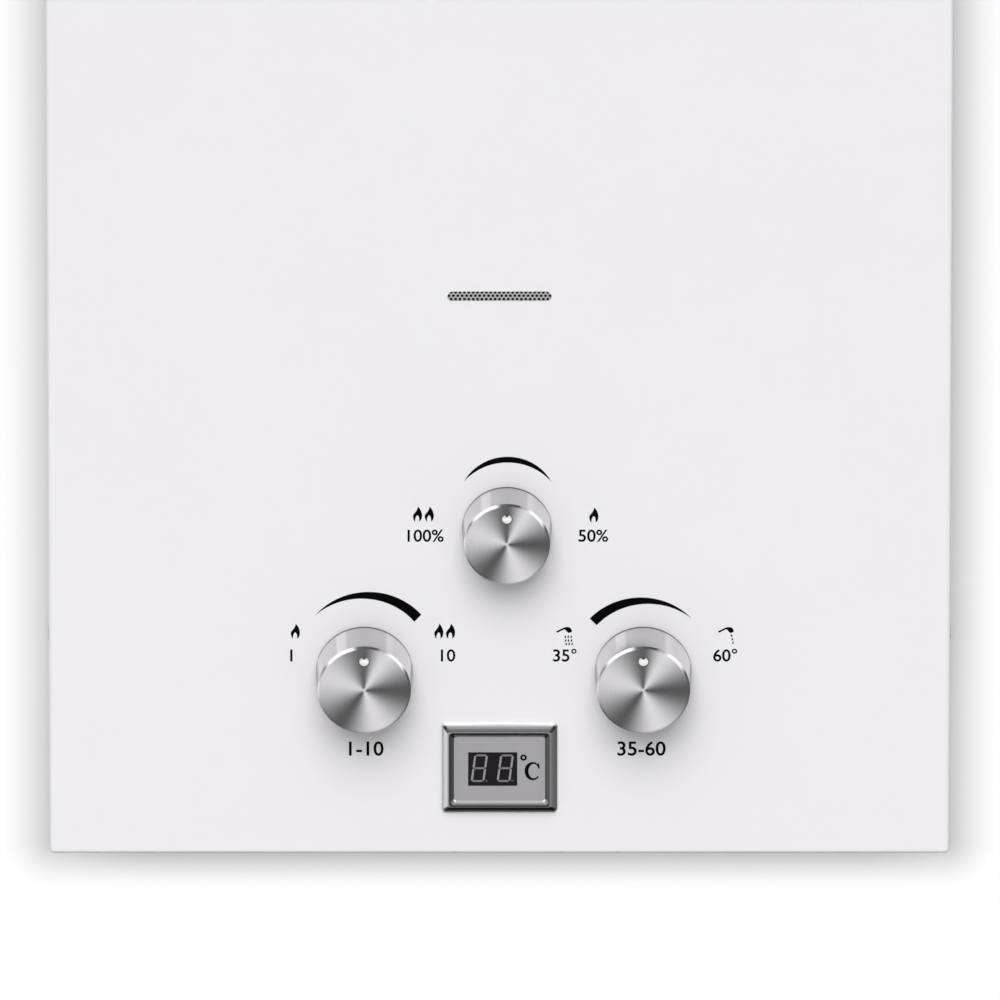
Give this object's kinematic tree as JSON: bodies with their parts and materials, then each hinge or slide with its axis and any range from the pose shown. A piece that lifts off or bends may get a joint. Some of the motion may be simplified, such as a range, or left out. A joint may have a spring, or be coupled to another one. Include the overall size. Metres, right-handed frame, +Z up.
{
  "type": "portable propane water heater",
  "caption": "Wall-hung instantaneous gas water heater with a sheet-metal cabinet, aluminium knobs, temperature display, flame window, folding handle and pipe fittings below.",
  "frame": {"origin": "on the wall plane, in the middle of the width, level with the underside of the cabinet", "axes": "+X to the right as the user faces the control panel, +Y into the wall, +Z up"},
  "size_m": [0.334, 0.1691, 0.494],
  "materials": {
    "cover_paint": "satin off-white powder coat",
    "galvanised_sheet": "zinc plated, dull",
    "steel_screw": "zinc plated",
    "stainless_mesh": "perforated strip",
    "spun_aluminium": "radially brushed face, turned side",
    "chrome_frame": "polished",
    "grey_lens": "smooth",
    "black_plastic": "fine texture",
    "grip_rubber": "ribbed",
    "board_green": "solder mask",
    "white_plastic": "smooth",
    "brass": "machined",
    "die_cast": "as cast",
    "coil_black": "smooth",
    "stainless": "bright drawn",
    "diaphragm_rubber": "smooth",
    "copper": "tinned in places",
    "ceramic": "glazed",
    "handle_steel": "plated",
    "cell_jacket": "printed film",
    "spring_steel": "nickel plated"
  },
  "bodies": {
    "cabinet": {"back_plate": "galvanised_sheet", "front_cover": "cover_paint", "bottom_plate": "galvanised_sheet", "cabinet_screws": "steel_screw", "window_strip": "stainless_mesh", "display_bezel": "chrome_frame", "display_lens_plate": "grey_lens", "led_module": "black_plastic", "display_board": "board_green", "display_housing": "black_plastic", "gas_valve_body": "die_cast", "safety_solenoid": "coil_black", "poppet_spring": "spring_steel", "water_valve_cover": "die_cast", "diaphragm": "diaphragm_rubber", "water_valve_body": "brass", "valve_screws": "steel_screw", "microswitch": "black_plastic", "season_valve_body": "die_cast", "gas_manifold": "die_cast", "gas_injectors": "brass", "burner_bars": "stainless", "burner_frame": "galvanised_sheet", "exchanger_jacket": "copper", "exchanger_fins": "copper", "exchanger_tube": "copper", "wrap_tube": "copper", "hot_water_pipe": "copper", "electrode_ceramics": "ceramic", "electrode_pins": "stainless", "flue_hood": "galvanised_sheet", "flue_cap": "stainless", "handle_brackets": "galvanised_sheet", "gas_inlet_fitting": "brass", "water_inlet_fitting": "brass", "hot_outlet_fitting": "brass", "drain_valve": "brass", "battery_box": "black_plastic", "battery_cells": "cell_jacket", "battery_contacts": "spring_steel", "pulse_igniter": "black_plastic", "support_brackets": "galvanised_sheet", "spindle_glands": "brass"},
    "gas_knob_unit": {"gas_knob": "spun_aluminium", "gas_knob_core": "white_plastic", "gas_spindle": "brass"},
    "water_knob_unit": {"water_knob": "spun_aluminium", "water_knob_core": "white_plastic", "water_spindle": "brass"},
    "season_knob_unit": {"season_knob": "spun_aluminium", "season_knob_core": "white_plastic", "season_spindle": "brass"},
    "carrying_handle": {"handle_bail": "handle_steel", "handle_grip": "grip_rubber"},
    "battery_hatch": {"battery_door": "black_plastic"},
    "gas_push_rod": {"push_rod": "stainless", "gas_poppet": "diaphragm_rubber"},
    "safety_plunger": {"solenoid_plunger": "stainless"},
    "lever": {"switch_lever": "stainless"},
    "drain_plug": {"drain_knob": "black_plastic"}
  },
  "joints": [
    {"name": "gas_knob_turn", "type": "hinge", "parent": "cabinet", "child": "gas_knob_unit", "pos_m": [-0.0495, -0.15, 0.0727], "axis": [0, -1, 0], "range_deg": [-45, 45]},
    {"name": "water_knob_turn", "type": "hinge", "parent": "cabinet", "child": "water_knob_unit", "pos_m": [0.0526, -0.15, 0.0727], "axis": [0, -1, 0], "range_deg": [-45, 45]},
    {"name": "season_knob_turn", "type": "hinge", "parent": "cabinet", "child": "season_knob_unit", "pos_m": [0.0027, -0.15, 0.1292], "axis": [0, -1, 0], "range_deg": [-45, 45]},
    {"name": "handle_fold", "type": "hinge", "parent": "cabinet", "child": "carrying_handle", "pos_m": [0, -0.07, 0.4488], "axis": [-1, 0, 0], "range_deg": [0, 180]},
    {"name": "battery_door_swing", "type": "hinge", "parent": "cabinet", "child": "battery_hatch", "pos_m": [-0.086, -0.0865, -0.0013], "axis": [1, 0, 0], "range_deg": [0, 95]},
    {"name": "push_rod_slide", "type": "slide", "parent": "cabinet", "child": "gas_push_rod", "axis": [-1, 0, 0], "range_m": [0, 0.004], "stiffness_N_per_m": 800, "springref_m": -0.003, "deforming": ["poppet_spring", "diaphragm"]},
    {"name": "switch_lever_turn", "type": "hinge", "parent": "cabinet", "child": "lever", "pos_m": [-0.00145, -0.05, 0.0877], "axis": [0, 1, 0], "range_deg": [0, 23]},
    {"name": "plunger_slide", "type": "slide", "parent": "cabinet", "child": "safety_plunger", "axis": [-1, 0, 0], "range_m": [0, 0.003], "stiffness_N_per_m": 300, "springref_m": -0.003},
    {"name": "drain_knob_turn", "type": "hinge", "parent": "cabinet", "child": "drain_plug", "pos_m": [0.04, -0.05, -0.00505], "axis": [0, 0, -1], "range_deg": [0, 90]}
  ],
  "couplings": [
    {"joint": "switch_lever_turn", "follows": "push_rod_slide", "rad_per_m": 100}
  ]
}
